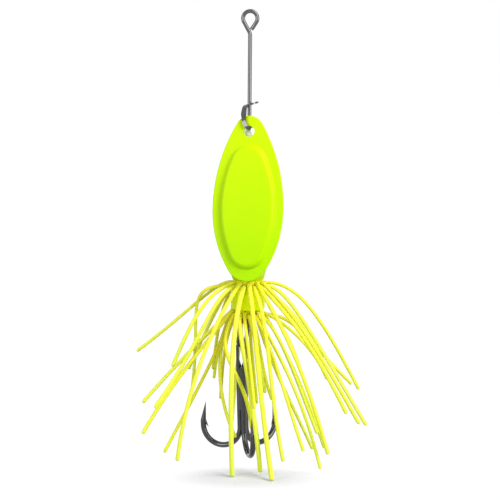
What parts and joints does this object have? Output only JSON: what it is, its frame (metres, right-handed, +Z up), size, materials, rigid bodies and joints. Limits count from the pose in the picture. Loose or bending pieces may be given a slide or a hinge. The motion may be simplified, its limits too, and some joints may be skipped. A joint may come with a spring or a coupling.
{
  "type": "spinnerbait",
  "caption": "Spinnerbait: wire shaft with line eye, folded clevis, swinging oval blade, slender head, tiered rubber strand skirt, bead and treble hook on a closed loop.",
  "frame": {"origin": "centre of the line eye at the top of the wire", "axes": "+Z up along the shaft, so the lure hangs along -Z; -Y is the side that the blade hangs on at rest; +X is to the right seen from that side"},
  "size_m": [0.0614, 0.0318, 0.1184],
  "materials": {
    "stainless_wire": "drawn stainless wire, smooth",
    "dark_nickel": "dark nickel plate, glossy",
    "blade_paint": "fluorescent chartreuse paint, semi-gloss",
    "body_paint": "chartreuse paint, semi-gloss",
    "bright_nickel": "bright nickel plate, smooth",
    "skirt_rubber": "moulded yellow rubber, smooth",
    "red_plastic": "deep red glossy bead",
    "black_nickel": "black nickel plate, polished"
  },
  "bodies": {
    "lure": {"shaft_wire": "stainless_wire", "head_body": "body_paint", "upper_skirt_collar": "skirt_rubber", "upper_skirt_front": "skirt_rubber", "upper_skirt_left": "skirt_rubber", "upper_skirt_right": "skirt_rubber", "upper_skirt_back": "skirt_rubber", "lower_body": "body_paint", "lower_skirt_collar": "skirt_rubber", "lower_skirt_front": "skirt_rubber", "lower_skirt_left": "skirt_rubber", "lower_skirt_right": "skirt_rubber", "lower_skirt_back": "skirt_rubber", "red_bead": "red_plastic"},
    "clevis_body": {"clevis": "dark_nickel"},
    "blade_body": {"blade": "blade_paint"},
    "bearing_body": {"bearing_bead": "bright_nickel"},
    "treble_body": {"treble_double_hook": "black_nickel", "treble_single_hook": "black_nickel", "treble_braze": "black_nickel"}
  },
  "joints": [
    {"name": "clevis_spin", "type": "hinge", "parent": "lure", "child": "clevis_body", "pos_m": [0, 0, -0.0247], "axis": [0, 0, 1], "continuous": true},
    {"name": "blade_swing", "type": "hinge", "parent": "clevis_body", "child": "blade_body", "pos_m": [0, -0.0029, -0.0277], "axis": [-0.9744, 0.225, 0], "range_deg": [-1, 30]},
    {"name": "bearing_spin", "type": "hinge", "parent": "lure", "child": "bearing_body", "pos_m": [0, 0, -0.03045], "axis": [0, 0, 1], "continuous": true},
    {"name": "hook_swing", "type": "hinge", "parent": "lure", "child": "treble_body", "pos_m": [-0.00158, 0.00115, -0.0849], "axis": [-0.5, 0.866, 0], "range_deg": [-30, 30], "deforming": ["upper_skirt_front", "upper_skirt_left", "upper_skirt_right", "upper_skirt_back", "lower_skirt_front", "lower_skirt_left", "lower_skirt_right", "lower_skirt_back"]}
  ]
}
